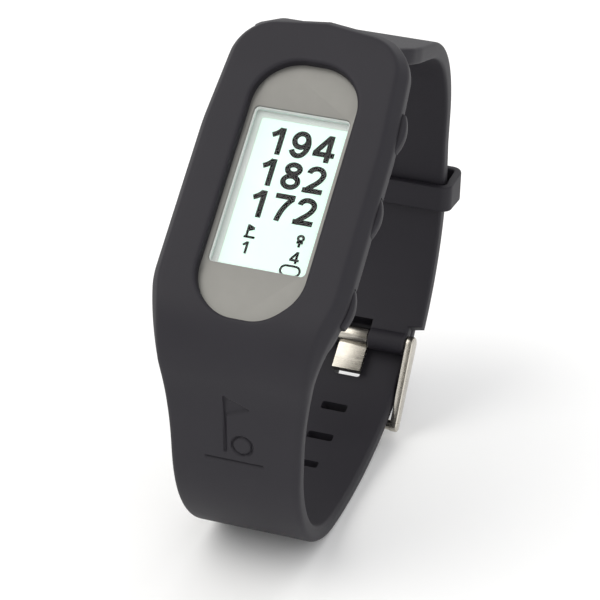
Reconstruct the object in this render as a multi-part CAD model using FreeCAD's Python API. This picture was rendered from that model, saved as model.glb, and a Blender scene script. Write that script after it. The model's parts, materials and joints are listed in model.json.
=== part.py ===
"""Golf GPS watch: a display module in a one-piece silicone wristband with a pin buckle.

Everything is modelled in the watch frame and then stood up on its strap:
X points to 3 o'clock, Y to 12 o'clock and Z straight out of the face.
Z = 0 is the flat front of the housing, and X = Y = 0 is the middle of the display.
"""
import FreeCAD, Part
import math
import os

V = FreeCAD.Vector
X_AXIS = V(1, 0, 0)
Z_AXIS = V(0, 0, 1)

# ---- driving dimensions, millimetres and degrees ----
# housing of the wristband
SIDE_TOP = -1.8            # front edge of the vertical side face
SHOULDER = 1.3             # inset of the flat front from the side face
HALF_OUTLINE = [(0, 26.7, 0), (12.6, 25.2, 6.8), (13.8, 9, 40), (13.8, -15, 12),
                (9.6, -30, 25), (8.95, -42, 0), (0, -42, 0)]
FRONT_FADE = (3.0, 18.0)   # the raised front fades into the lower strap between these runs
RIM_BOTTOM = -9.4          # back edge of the wall that grips the module
RIM_WALL = (2.7, 1.5)      # thickness of that wall at its root and at its edge
LIP = 1.5                  # depth of the lip in front of the module
WINDOW = (15.3, 38.3, 6.6)  # width, length and corner radius of the window in the lip
WINDOW_Y = 0.25

# strap, as tangent runs of (length, turn) along its outer surface
BAND_T = 2.4
SIDE_BOTTOM = SIDE_TOP - BAND_T      # back edge of the side face
LAYER_GAP = 0.15           # between the two straps where they lie on each other
TAIL_START = (-14.0, SIDE_TOP)
TAIL_RUNS = [(3.0, 0), (10.5, 54), (14.0, 0), (28.5, 81), (22.0, 17), (23.0, 42), (26.5, 42.6)]
UPPER_RUNS = [(8.6, 0), (24.0, 66), (13.4, 0)]
TAIL_HALF_WIDTHS = [(-42, 8.95), (-12, 8.15), (40, 8.1)]
UPPER_HALF_WIDTHS = [(0, 12.0), (-14, 11.8), (-23, 11.4), (-40, 10.4), (-66, 9.9)]
SLOT = (3.4, 2.0)          # width across the strap and length along it
SLOT_PITCH = 7.0
SLOT_COUNT = 7
SLOTS_PAST_TONGUE = 4      # slots between the tongue and the housing

# buckle
HINGE_RUN = 95.3           # distance of the spring bar along the tail
BAR_REACH = 12.0           # from the spring bar to the far bar of the frame
ARM_INNER = 8.35
ARM_OUTER = 9.5
FAR_BAR_R = 0.8
LUG_R = 1.3
STRAP_BARREL_R = 1.65
STRAP_END_HALF = 8.1
TONGUE_HALF = 2.2
TONGUE_PIN_HALF = 1.1
TONGUE_T = 0.9
TONGUE_BARREL_R = 1.35
SPRING_BAR_R = 0.75
SPRING_PIN_R = 0.4
PIN_FIT = 0.05

# keeper loop, which slides on the last arc of the tail
KEEPER_WIDTH = 4.8
KEEPER_WALL = 1.1
KEEPER_GAP = 0.2
KEEPER_RUN = 122.5         # distance of its middle along the tail

# display module
MODULE_FRONT = -LIP
MODULE_SPLIT = -5.2
MODULE_BACK = -10.0
MODULE_OUTLINE = (19.8, 42.7, 6.9)   # width, length, corner radius
MODULE_Y = -0.25
MODULE_WALL = 1.2
POCKET_GAP = 0.1
COVER_T = 0.9
FLOOR_T = 1.0
DISPLAY = (13.8, 23.6)
DISPLAY_Y = 0.5
LENS = (14.7, 24.6, 0.6)
PANEL = (14.4, 26.0, 1.1)
BACKLIGHT_T = 0.6
CARRIER = (14.8, 27.6)               # outer width and length
BOARD_TOP = -5.1                     # front face of the circuit board
BOARD_T = 0.8
BOARD_GAP = 0.3
BATTERY = (12.5, 20.0, 2.7)
BATTERY_Y = 3.0
PAD_T = 0.2
SCREWS = [(6.3, 15.6), (-6.3, 15.6), (6.3, -15.9), (-6.3, -15.9)]
CONTACTS_X = (-3.9, -1.3, 1.3, 3.9)
CONTACTS_Y = -17.0

# side buttons
BUTTONS = {"up": 12.2, "select": -0.5, "down": -14.0}
BUTTON_Z = -3.3
BUTTON_LENGTH = 5.6
BUTTON_HEIGHT = 1.8
BUTTON_PROUD = 0.65
BUTTON_GAP = 0.1
KEY_HALF = 1.4             # half length of the hard key behind each cover


# ---- flat outlines ----

def corner(before, at, after, radius):
    """Two tangent points and the middle of the arc that rounds one corner."""
    u = (before - at).normalize()
    w = (after - at).normalize()
    half = u.getAngle(w) / 2
    reach = radius / math.tan(half)
    bisector = (u + w).normalize()
    middle = at + bisector * (radius / math.sin(half) - radius)
    return at + u * reach, middle, at + w * reach


def rounded_wire(points, closed=True):
    """Wire through (x, y, radius) corners in the XY plane; radius 0 keeps the corner sharp."""
    at = [V(p[0], p[1], 0) for p in points]
    count = len(points)
    edges = []
    last = at[0]
    for i in range(count):
        radius = points[i][2]
        if radius > 0:
            start, middle, end = corner(at[i - 1], at[i], at[(i + 1) % count], radius)
            if i > 0:
                edges.append(Part.LineSegment(last, start).toShape())
            else:
                first = start
            edges.append(Part.Arc(start, middle, end).toShape())
            last = end
        else:
            if i > 0:
                edges.append(Part.LineSegment(last, at[i]).toShape())
            else:
                first = at[i]
            last = at[i]
    if closed:
        edges.append(Part.LineSegment(last, first).toShape())
    return Part.Wire(edges)


def mirrored(half):
    """Close a right-hand half outline of (x, y, radius) corners with its mirror image."""
    left = [(-x, y, r) for x, y, r in reversed(half) if x > 0]
    return half + left


def rounded_rectangle(width, length, radius, y=0.0):
    """Wire of a rectangle with rounded corners, centred on X = 0 and the given Y."""
    w, h = width / 2, length / 2
    return rounded_wire([(w, y + h, radius), (w, y - h, radius),
                         (-w, y - h, radius), (-w, y + h, radius)])


def prism(wire, low, high):
    """Solid between two heights on a flat outline."""
    face = Part.Face(wire)
    face.translate(V(0, 0, low))
    return face.extrude(V(0, 0, high - low))


def loft(low_wire, low, high_wire, high):
    """Ruled solid between two outlines with the same number of edges."""
    bottom = low_wire.copy()
    bottom.translate(V(0, 0, low))
    top = high_wire.copy()
    top.translate(V(0, 0, high))
    return Part.makeLoft([bottom, top], True, True)


def block(x, y, z):
    """Box from three (low, high) pairs."""
    return Part.makeBox(x[1] - x[0], y[1] - y[0], z[1] - z[0], V(x[0], y[0], z[0]))


def x_cylinder(radius, x0, x1, y, z):
    """Cylinder along X."""
    return Part.makeCylinder(radius, x1 - x0, V(x0, y, z), X_AXIS)


def z_cylinder(radius, x, y, low, high):
    """Cylinder along Z."""
    return Part.makeCylinder(radius, high - low, V(x, y, low), Z_AXIS)


# ---- the strap's side view, a chain of tangent runs in the YZ plane ----

class Chain:
    """A line of tangent straights and arcs in the YZ plane, with its offsets."""

    def __init__(self, start, heading, runs):
        self.runs = []
        y, z = start
        for length, turn in runs:
            self.runs.append((y, z, heading, length, math.radians(turn)))
            y, z, heading = self.advance(y, z, heading, length, math.radians(turn))
        self.end = (y, z, heading)
        self.length = sum(run[3] for run in self.runs)

    @staticmethod
    def advance(y, z, heading, length, turn):
        """Point and heading at the end of one run."""
        if abs(turn) < 1e-9:
            return y + length * math.cos(heading), z + length * math.sin(heading), heading
        radius = length / turn
        y += radius * (math.sin(heading + turn) - math.sin(heading))
        z -= radius * (math.cos(heading + turn) - math.cos(heading))
        return y, z, heading + turn

    def at(self, distance, inset=0.0):
        """Point (y, z) and heading at a distance along the chain, moved inwards by inset."""
        for y, z, heading, length, turn in self.runs:
            if distance <= length + 1e-9:
                part = distance / length
                y, z, heading = self.advance(y, z, heading, distance, turn * part)
                break
            distance -= length
        return y - inset * math.sin(heading), z + inset * math.cos(heading), heading

    def stations(self, start, end):
        """Distances that bound the runs between two distances, each with its middle."""
        marks = [start]
        total = 0.0
        for run in self.runs:
            total += run[3]
            if start + 1e-6 < total < end - 1e-6:
                marks.append(total)
        marks.append(end)
        return [(a, (a + b) / 2, b) for a, b in zip(marks, marks[1:])]

    def edges(self, start, end, inset):
        """Edges of the offset chain between two distances."""
        made = []
        for a, middle, b in self.stations(start, end):
            p, q, r = (V(0, *self.at(s, inset)[:2]) for s in (a, middle, b))
            straight = abs(self.at(a)[2] - self.at(b)[2]) < 1e-9
            made.append((Part.LineSegment(p, r) if straight else Part.Arc(p, q, r)).toShape())
        return made

    def ribbon(self, start, end, outer, inner, half_width):
        """Solid strip between two insets, extruded across the strap."""
        a, b = self.edges(start, end, outer), self.edges(start, end, inner)
        cap_start = Part.LineSegment(b[0].valueAt(b[0].FirstParameter),
                                     a[0].valueAt(a[0].FirstParameter)).toShape()
        cap_end = Part.LineSegment(a[-1].valueAt(a[-1].LastParameter),
                                   b[-1].valueAt(b[-1].LastParameter)).toShape()
        face = Part.Face(Part.Wire(Part.__sortEdges__(a + [cap_end] + b + [cap_start])))
        face.translate(V(-half_width, 0, 0))
        return face.extrude(V(2 * half_width, 0, 0))


TAIL = Chain(TAIL_START, math.pi, TAIL_RUNS)
UPPER_INSET = BAND_T + LAYER_GAP
TONGUE_RUN = HINGE_RUN - 5.9
HINGE = TAIL.at(HINGE_RUN, UPPER_INSET + STRAP_BARREL_R)[:2]
FAR_BAR = TAIL.at(HINGE_RUN - BAR_REACH, -(FAR_BAR_R + 0.1))[:2]


def local_box(run, inset, half_x, along, depth, x=0.0):
    """Box centred on the strap's outer surface frame: X half width, length along, depth inwards."""
    y, z, heading = TAIL.at(run, inset)
    made = Part.makeBox(2 * half_x, along, depth, V(x - half_x, -along / 2, 0))
    made.rotate(V(0, 0, 0), X_AXIS, math.degrees(heading))
    made.translate(V(0, y, z))
    return made


def width_prism(half_widths, along_y):
    """Prism that limits the strap's width, from (station, half width) pairs."""
    right = [(w, s) for s, w in half_widths]
    points = right + [(-w, s) for w, s in reversed(right)]
    points.append(points[0])
    if along_y:
        face = Part.Face(Part.makePolygon([V(x, 0, s) for x, s in points]))
        return face.extrude(V(0, 60, 0))
    face = Part.Face(Part.makePolygon([V(x, s, -70) for x, s in points]))
    return face.extrude(V(0, 0, 41))


# ---- wristband ----

def lower_strap():
    """Lower strap and its tail, with the adjustment slots and a round tip."""
    end = TAIL.length
    front_end = sum(run[0] for run in TAIL_RUNS[:3]) + 13.0
    strip = TAIL.ribbon(0, end, 0, BAND_T, 16)
    outline = rounded_wire(mirrored(HALF_OUTLINE))
    split_z = TAIL.at(front_end)[1]
    front = strip.common(prism(outline, split_z, 1))
    back_limit = width_prism(TAIL_HALF_WIDTHS, False)
    back_limit.translate(V(0, 0, split_z + 29))
    back = strip.common(back_limit)
    tip_half = TAIL_HALF_WIDTHS[-1][1]
    tip = local_box(end - tip_half, -1, 20, 2 * tip_half, BAND_T + 3)
    tip = tip.cut(local_box(end - 2 * tip_half, -1, 21, 2 * tip_half, BAND_T + 4))
    y, z, heading = TAIL.at(end - tip_half, -2)
    round_tip = Part.makeCylinder(tip_half, BAND_T + 4, V(0, y, z),
                                  V(0, -math.sin(heading), math.cos(heading)))
    back = back.cut(tip.cut(round_tip))
    strap = front.fuse(back)
    first = TONGUE_RUN - SLOTS_PAST_TONGUE * SLOT_PITCH
    for i in range(SLOT_COUNT):
        strap = strap.cut(local_box(first + i * SLOT_PITCH, -1, SLOT[0] / 2, SLOT[1], BAND_T + 2))
    return strap


def upper_strap():
    """Upper strap from the housing to the spring bar, inside the tail where they overlap."""
    y, z, heading = TAIL.at(TAIL.length, UPPER_INSET)
    beyond = Chain((y, z), heading, UPPER_RUNS)
    shared = TAIL.ribbon(HINGE_RUN, TAIL.length, UPPER_INSET, UPPER_INSET + BAND_T, 16)
    rise = beyond.ribbon(0, beyond.length, 0, BAND_T, 16)
    strap = shared.fuse(rise).common(width_prism(UPPER_HALF_WIDTHS, True))
    shoulder_run = HINGE_RUN + 3.2
    for side in (-1, 1):
        x = side * (STRAP_END_HALF + 5)
        strap = strap.cut(local_box(shoulder_run - 5, UPPER_INSET - 1, 5, 10, BAND_T + 4, x))
    barrel = x_cylinder(STRAP_BARREL_R, -STRAP_END_HALF, STRAP_END_HALF, *HINGE)
    strap = strap.fuse(barrel)
    notch = x_cylinder(STRAP_BARREL_R + 1.2, -TONGUE_HALF - 0.15, TONGUE_HALF + 0.15, *HINGE)
    bore = x_cylinder(SPRING_BAR_R, -STRAP_END_HALF, STRAP_END_HALF, *HINGE)
    return strap.cut(notch).cut(bore)


def outline_half_width(outline, y):
    """Half width of the housing's outline at one Y."""
    return outline.common(Part.makeLine(V(0, y, 0), V(20, y, 0))).Length


def front_fade(outline):
    """Lower end of the raised front, which sinks into the strap along its curve."""
    face = Part.Face(outline)
    rise = -SIDE_TOP
    start, end = FRONT_FADE
    sections = []
    for run in (0.0, start, 6.0, 9.0, 12.0, 15.0, end):
        part = max(0.0, (run - start) / (end - start))
        height = rise * (1 - part * part * (3 - 2 * part)) + 0.02
        low, high = TAIL.at(run, 0.3)[:2], TAIL.at(run, -height)[:2]
        half = outline_half_width(face, TAIL.at(run)[0])
        top = half - SHOULDER * height / rise
        sections.append(Part.makePolygon([V(half, *low), V(top, *high), V(-top, *high), V(-half, *low),
                                          V(half, *low)]))
    return Part.makeLoft(sections, True, True)


def housing():
    """Raised front, side wall and back rim of the wristband, still without its cavities."""
    outline = rounded_wire(mirrored(HALF_OUTLINE))
    inset = outline.makeOffset2D(-SHOULDER)
    body = loft(outline, SIDE_TOP, inset, 0).fuse(prism(outline, SIDE_BOTTOM, SIDE_TOP))
    body = body.common(block((-20, 20), (TAIL_START[0], 30), (-12, 2)))
    w, length, radius = MODULE_OUTLINE
    root, edge = (rounded_rectangle(w + 2 * t, length + 2 * t, radius + t, MODULE_Y) for t in RIM_WALL)
    return body.fuse([front_fade(outline), loft(edge, RIM_BOTTOM, root, SIDE_BOTTOM)])


def button_opening(y):
    """Opening in the side wall for one button cover, open to the back of the side face."""
    half = BUTTON_LENGTH / 2 + BUTTON_GAP
    top = BUTTON_Z + BUTTON_HEIGHT / 2 + BUTTON_GAP
    return block((MODULE_OUTLINE[0] / 2 - 1, 20), (y - half, y + half),
                 (BUTTON_Z - BUTTON_HEIGHT / 2 - BUTTON_GAP, top))


def wristband():
    """Housing and both straps as one moulding."""
    band = housing().fuse(lower_strap()).fuse(upper_strap())
    w, length, radius = MODULE_OUTLINE
    pocket = rounded_rectangle(w + 2 * POCKET_GAP, length + 2 * POCKET_GAP, radius + POCKET_GAP, MODULE_Y)
    band = band.cut(prism(pocket, -14, MODULE_FRONT))
    band = band.cut(prism(rounded_rectangle(*WINDOW, WINDOW_Y), -2, 1))
    for y in BUTTONS.values():
        band = band.cut(button_opening(y))
    return band


# ---- buckle and keeper ----

def link(radius_a, radius_b, x0, x1):
    """Tapered link from the hinge to the far bar."""
    ya, za = HINGE
    yb, zb = FAR_BAR
    span = math.hypot(yb - ya, zb - za)
    heading = math.atan2(zb - za, yb - ya)
    lean = math.acos((radius_a - radius_b) / span)
    ends = []
    for side in (1, -1):
        angle = heading + side * lean
        ends.append((V(x0, ya + radius_a * math.cos(angle), za + radius_a * math.sin(angle)),
                     V(x0, yb + radius_b * math.cos(angle), zb + radius_b * math.sin(angle))))
    face = Part.Face(Part.makePolygon([ends[0][0], ends[0][1], ends[1][1], ends[1][0], ends[0][0]]))
    web = face.extrude(V(x1 - x0, 0, 0))
    return web.fuse([x_cylinder(radius_a, x0, x1, ya, za), x_cylinder(radius_b, x0, x1, yb, zb)])


def buckle_frame():
    """Two arms on the spring bar's pins, joined by the far bar outside the tail."""
    arms = [link(LUG_R, FAR_BAR_R + 0.15, side * ARM_INNER if side > 0 else -ARM_OUTER,
                 ARM_OUTER if side > 0 else -ARM_INNER) for side in (1, -1)]
    bar = x_cylinder(FAR_BAR_R, -ARM_OUTER, ARM_OUTER, *FAR_BAR)
    frame = bar.fuse(arms).removeSplitter()
    frame = frame.makeFillet(0.3, [e for e in frame.Edges if abs(abs(e.CenterOfMass.x) - ARM_OUTER) < 1e-6])
    hole = SPRING_PIN_R + PIN_FIT
    for side in (1, -1):
        x0, x1 = sorted((side * (ARM_INNER - 0.1), side * (ARM_OUTER - 0.4)))
        frame = frame.cut(x_cylinder(hole, x0, x1, *HINGE))
    return frame


def tongue():
    """Tongue folded round the spring bar, cranked through a slot and resting on the far bar."""
    hug = UPPER_INSET - LAYER_GAP
    low = hug + 0.5
    outer = -(2 * FAR_BAR_R + 0.2)
    turn_in = TONGUE_RUN + TONGUE_T / 2
    turn_out = TONGUE_RUN - TONGUE_T / 2
    tip = HINGE_RUN - BAR_REACH - 0.6
    route = [TAIL.at(HINGE_RUN, low), TAIL.at(turn_in, low), TAIL.at(turn_in, -0.2),
             TAIL.at(tip, outer), TAIL.at(tip, outer - TONGUE_T), TAIL.at(turn_out + 0.2, -0.2 - TONGUE_T),
             TAIL.at(turn_out, -0.2 - TONGUE_T), TAIL.at(turn_out, low + TONGUE_T),
             TAIL.at(HINGE_RUN - 0.2, low + TONGUE_T)]
    points = [V(0, p[0], p[1]) for p in route]
    points.append(points[0])
    plate = Part.Face(Part.makePolygon(points))
    wide = plate.copy()
    wide.translate(V(-TONGUE_HALF, 0, 0))
    wide = wide.extrude(V(2 * TONGUE_HALF, 0, 0))
    narrow = plate.copy()
    narrow.translate(V(-TONGUE_PIN_HALF, 0, 0))
    narrow = narrow.extrude(V(2 * TONGUE_PIN_HALF, 0, 0))
    root_only = local_box(TONGUE_RUN + 2.2, low - 0.01, 5, 5.6, 8)
    body = narrow.fuse(wide.common(root_only))
    body = body.fuse(x_cylinder(TONGUE_BARREL_R, -TONGUE_HALF, TONGUE_HALF, *HINGE))
    body = body.cut(x_cylinder(SPRING_BAR_R + PIN_FIT, -5, 5, *HINGE))
    return body.removeSplitter()


def spring_bar_tube():
    """Hollow body of the spring bar, through the end of the upper strap."""
    half = ARM_INNER - 0.15
    tube = x_cylinder(SPRING_BAR_R, -half, half, *HINGE)
    return tube.cut(x_cylinder(SPRING_PIN_R, -half, half, *HINGE))


def spring_bar_pins():
    """Two sprung end pins, in the lugs of the frame."""
    inner = 3.0
    outer = ARM_OUTER - 0.5
    return [x_cylinder(SPRING_PIN_R, inner, outer, *HINGE), x_cylinder(SPRING_PIN_R, -outer, -inner, *HINGE)]


def spring_bar_spring():
    """Compression spring between the two pins."""
    radius, wire = 0.26, 0.07
    pitch = 0.46
    height = 5.52
    helix = Part.makeHelix(pitch, height, radius)
    circle = Part.Wire([Part.Circle(V(radius, 0, 0), V(0, 1, 0), wire).toShape()])
    coil = Part.Wire(helix).makePipeShell([circle], True, True)
    coil.rotate(V(0, 0, 0), V(0, 1, 0), 90)
    coil.translate(V(-height / 2, *HINGE))
    return coil


def keeper_centre():
    """Centre of curvature of the tail under the keeper."""
    length, turn = TAIL_RUNS[-1]
    return TAIL.at(TAIL.length, length / math.radians(turn))[:2]


def strap_keeper():
    """Loop that holds the tail against the upper strap, bent to the strap's own arc."""
    y, z = keeper_centre()
    radius = TAIL_RUNS[-1][0] / math.radians(TAIL_RUNS[-1][1])
    outer = radius + KEEPER_GAP
    inner = radius - UPPER_INSET - BAND_T - KEEPER_GAP
    half = UPPER_HALF_WIDTHS[-2][1] + KEEPER_GAP

    def ring(grow, corner_r):
        low, high, w = inner - grow, outer + grow, half + grow
        return rounded_wire([(w, high, corner_r), (w, low, corner_r), (-w, low, corner_r), (-w, high, corner_r)])

    section = Part.Face(ring(KEEPER_WALL, 1.6)).cut(Part.Face(ring(0, 0.6)))
    angle = math.degrees(KEEPER_WIDTH / radius)
    loop = section.revolve(V(0, 0, 0), X_AXIS, angle)
    middle = TAIL.at(KEEPER_RUN)
    bearing = math.degrees(math.atan2(middle[1] - z, middle[0] - y))
    loop.rotate(V(0, 0, 0), X_AXIS, bearing - angle / 2)
    loop.translate(V(0, y, z))
    return loop


# ---- module ----

def module_wire(grow=0.0):
    """Outline of the module, moved outwards by grow."""
    w, length, radius = MODULE_OUTLINE
    return rounded_rectangle(w + 2 * grow, length + 2 * grow, radius + grow, MODULE_Y)


def key_hole(y):
    """Hole for one side key in the wall of the front cover."""
    return block((8, 11), (y - KEY_HALF - 0.1, y + KEY_HALF + 0.1), (BUTTON_Z - 0.65, BUTTON_Z + 0.65))


def front_cover():
    """Silver-grey cover with the display opening, key holes and screw bosses."""
    shell = prism(module_wire(), MODULE_SPLIT, MODULE_FRONT)
    front_edges = [e for e in shell.Edges if abs(e.BoundBox.ZMin - MODULE_FRONT) < 1e-6]
    shell = shell.makeFillet(0.3, front_edges)
    shell = shell.cut(prism(module_wire(-MODULE_WALL), MODULE_SPLIT, MODULE_FRONT - COVER_T))
    for x, y in SCREWS:
        shell = shell.fuse(z_cylinder(1.2, x, y, BOARD_TOP, MODULE_FRONT - COVER_T))
        shell = shell.cut(z_cylinder(0.5, x, y, BOARD_TOP, MODULE_FRONT - COVER_T - 0.6))
    shell = shell.cut(prism(rounded_rectangle(*DISPLAY, 0.7, DISPLAY_Y), -3, 0))
    for y in BUTTONS.values():
        shell = shell.cut(key_hole(y))
    return shell


def rear_cover():
    """Back shell with screw posts, contact holes and the gasket groove."""
    shell = prism(module_wire(), MODULE_BACK, MODULE_SPLIT)
    back_edges = [e for e in shell.Edges if abs(e.BoundBox.ZMax - MODULE_BACK) < 1e-6]
    shell = shell.makeFillet(0.6, back_edges)
    shell = shell.cut(prism(module_wire(-MODULE_WALL), MODULE_BACK + FLOOR_T, MODULE_SPLIT))
    board_bottom = BOARD_TOP - BOARD_T
    for x, y in SCREWS:
        shell = shell.fuse(z_cylinder(1.3, x, y, MODULE_BACK + FLOOR_T, board_bottom))
        shell = shell.cut(z_cylinder(0.6, x, y, MODULE_BACK, board_bottom))
        shell = shell.cut(z_cylinder(1.15, x, y, MODULE_BACK - 1, MODULE_BACK + 0.75))
    for x in CONTACTS_X:
        shell = shell.cut(z_cylinder(0.8, x, CONTACTS_Y, MODULE_BACK - 1, -8))
    return shell.cut(gasket_ring())


def gasket_ring():
    """Ring of the case gasket in its groove."""
    outer = prism(module_wire(-0.35), MODULE_SPLIT - 0.4, MODULE_SPLIT)
    return outer.cut(prism(module_wire(-0.85), MODULE_SPLIT - 1, MODULE_SPLIT + 1))


def display_lens():
    """Clear window glued behind the display opening."""
    top = MODULE_FRONT - COVER_T
    return prism(rounded_rectangle(LENS[0], LENS[1], 1.0, DISPLAY_Y), top - LENS[2], top)


def panel_top():
    """Front face of the liquid crystal panel."""
    return MODULE_FRONT - COVER_T - LENS[2] - 0.05


def lcd_panel():
    """Liquid crystal panel."""
    return prism(rounded_rectangle(PANEL[0], PANEL[1], 0.3, DISPLAY_Y - 0.2), panel_top() - PANEL[2], panel_top())


def lcd_backlight():
    """Light guide behind the panel."""
    high = panel_top() - PANEL[2]
    return prism(rounded_rectangle(PANEL[0], PANEL[1] - 1.0, 0.3, DISPLAY_Y - 0.2), high - BACKLIGHT_T, high)


def display_carrier():
    """Plastic frame that holds the panel and the light guide, notched for the flex."""
    y = DISPLAY_Y - 0.2
    low = BOARD_TOP
    high = panel_top() - 0.05
    ring = prism(rounded_rectangle(*CARRIER, 0.6, y), low, high)
    ring = ring.cut(prism(rounded_rectangle(PANEL[0], PANEL[1], 0.3, y), low - 1, high + 1))
    return ring.cut(block((-5.2, 5.2), (-16, y - PANEL[1] / 2 + 0.5), (low - 1, high + 1)))


def lcd_flex():
    """Ribbon from the panel's lower edge down to the board."""
    edge = DISPLAY_Y - 0.2 - PANEL[1] / 2
    top = panel_top() - 0.5
    drop = block((-5, 5), (edge - 0.4, edge - 0.28), (BOARD_TOP, top))
    return drop.fuse(block((-5, 5), (edge - 0.4, edge), (top - 0.12, top))).removeSplitter()


def main_board():
    """Circuit board with holes for the four screws."""
    board = prism(module_wire(-MODULE_WALL - BOARD_GAP), BOARD_TOP - BOARD_T, BOARD_TOP)
    for x, y in SCREWS:
        board = board.cut(z_cylinder(0.7, x, y, BOARD_TOP - 2, BOARD_TOP + 1))
    return board


def screws():
    """Four pan-head screws from the back."""
    made = []
    for x, y in SCREWS:
        head = z_cylinder(1.1, x, y, MODULE_BACK + 0.05, MODULE_BACK + 0.75)
        shank = z_cylinder(0.5, x, y, MODULE_BACK + 0.75, MODULE_FRONT - COVER_T - 0.8)
        made.append(head.fuse(shank).removeSplitter())
    return made


def charging_contacts():
    """Four gold contacts, flush with the back."""
    made = []
    for x in CONTACTS_X:
        face = z_cylinder(0.8, x, CONTACTS_Y, MODULE_BACK, MODULE_BACK + FLOOR_T)
        made.append(face.fuse(z_cylinder(1.1, x, CONTACTS_Y, MODULE_BACK + FLOOR_T, -8.6)).removeSplitter())
    return made


def contact_springs():
    """Four sprung pins between the contacts and the board."""
    return [z_cylinder(0.45, x, CONTACTS_Y, -8.6, BOARD_TOP - BOARD_T) for x in CONTACTS_X]


def battery_cell():
    """Lithium polymer cell."""
    high = BOARD_TOP - BOARD_T - PAD_T
    return prism(rounded_rectangle(BATTERY[0], BATTERY[1], 1.0, BATTERY_Y), high - BATTERY[2], high)


def battery_tabs():
    """Two nickel tabs from the cell up to the board."""
    end = BATTERY_Y + BATTERY[1] / 2
    top = BOARD_TOP - BOARD_T
    made = []
    for x in (-2.5, 2.5):
        foot = block((x - 0.8, x + 0.8), (end, end + 0.6), (-7.9, -7.75))
        made.append(foot.fuse(block((x - 0.8, x + 0.8), (end + 0.45, end + 0.6), (-7.9, top))).removeSplitter())
    return made


# ---- side buttons ----

def button_cover(y):
    """Silicone pad in the side wall: a lens-shaped head, a plug and a nose on the key."""
    half = BUTTON_LENGTH / 2
    side = HALF_OUTLINE[2][0]
    z0, z1 = BUTTON_Z - BUTTON_HEIGHT / 2, BUTTON_Z + BUTTON_HEIGHT / 2
    plug = block((10.4, side), (y - half, y + half), (z0, z1))
    arc = Part.Arc(V(side, y - half, z0), V(side + BUTTON_PROUD, y, z0), V(side, y + half, z0))
    chord = Part.LineSegment(V(side, y + half, z0), V(side, y - half, z0))
    head = Part.Face(Part.Wire([arc.toShape(), chord.toShape()])).extrude(V(0, 0, BUTTON_HEIGHT))
    nose = block((MODULE_OUTLINE[0] / 2, 10.4), (y - 1.3, y + 1.3), (BUTTON_Z - 0.5, BUTTON_Z + 0.5))
    return plug.fuse([head, nose]).removeSplitter()


def side_key(y):
    """Hard key in the wall of the front cover, with a flange inside."""
    outer = MODULE_OUTLINE[0] / 2
    stem = block((8.5, outer), (y - KEY_HALF, y + KEY_HALF), (BUTTON_Z - 0.55, BUTTON_Z + 0.55))
    flange = block((8.25, 8.5), (y - KEY_HALF - 0.4, y + KEY_HALF + 0.4), (BUTTON_Z - 0.75, BUTTON_Z + 0.75))
    return stem.fuse(flange).removeSplitter()


def switch_body(y):
    """Fixed body of one side switch, with the bore of its plunger."""
    body = block((7.55, 7.95), (y - 1.5, y + 1.5), (BUTTON_Z - 0.7, BUTTON_Z + 0.7))
    return body.cut(block((7.6, 9), (y - 0.65, y + 0.65), (BUTTON_Z - 0.4, BUTTON_Z + 0.4)))


def switch_plunger(y):
    """Moving plunger of one side switch."""
    return block((7.9, 8.25), (y - 0.6, y + 0.6), (BUTTON_Z - 0.35, BUTTON_Z + 0.35))


def key_flex():
    """Ribbon that carries the three side switches and turns down to the board."""
    return block((7.45, 7.55), (BUTTONS["down"] - 1.4, BUTTONS["up"] + 1.4), (BOARD_TOP, BUTTON_Z + 0.2))


# ---- assembly ----

def sub_parts():
    """Every node of the watch, in the watch frame, as name to solid or list of solids."""
    board_bottom = BOARD_TOP - BOARD_T
    parts = {
        "wristband": wristband(), "strap_keeper": strap_keeper(),
        "buckle_frame": buckle_frame(), "buckle_tongue": tongue(),
        "spring_bar_tube": spring_bar_tube(), "spring_bar_pins": spring_bar_pins(),
        "spring_bar_spring": spring_bar_spring(),
        "front_cover": front_cover(), "rear_cover": rear_cover(), "case_gasket": gasket_ring(),
        "case_screws": screws(), "display_lens": display_lens(), "lcd_panel": lcd_panel(),
        "lcd_backlight": lcd_backlight(), "display_carrier": display_carrier(), "lcd_flex": lcd_flex(),
        "main_board": main_board(),
        "gps_antenna": block((-5, 5), (14.4, 18.6), (BOARD_TOP, BOARD_TOP + 2.0)),
        "gps_shield_can": block((-4.5, 4.5), (-18.9, -14.0), (BOARD_TOP, BOARD_TOP + 1.2)),
        "processor_chip": block((-4, 2), (-14.5, -8.5), (board_bottom - 0.8, board_bottom)),
        "memory_chip": block((3, 6), (-13.5, -10.5), (board_bottom - 0.7, board_bottom)),
        "clock_crystal": block((3, 6.2), (-9.5, -8), (board_bottom - 0.6, board_bottom)),
        "battery_cell": battery_cell(), "battery_tabs": battery_tabs(),
        "battery_pad": prism(rounded_rectangle(11, 18, 0.5, BATTERY_Y), board_bottom - PAD_T, board_bottom),
        "charging_contacts": charging_contacts(), "contact_springs": contact_springs(),
        "key_flex": key_flex(),
    }
    for name, y in BUTTONS.items():
        parts["button_cover_" + name] = button_cover(y)
        parts["side_key_" + name] = side_key(y)
        parts["switch_body_" + name] = switch_body(y)
        parts["switch_plunger_" + name] = switch_plunger(y)
    return parts


def rest_tilt():
    """Angle that brings the tongue's end and the bend of the tail down to one floor."""
    foot = TAIL.at(HINGE_RUN - BAR_REACH - 0.6, -(2 * FAR_BAR_R + 0.2) - TONGUE_T)
    angles = []
    for step in range(60, 160):
        y, z = TAIL.at(step * 0.5)[:2]
        angles.append(math.atan2(z - foot[1], foot[0] - y))
    return math.degrees(min(angles))


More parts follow.
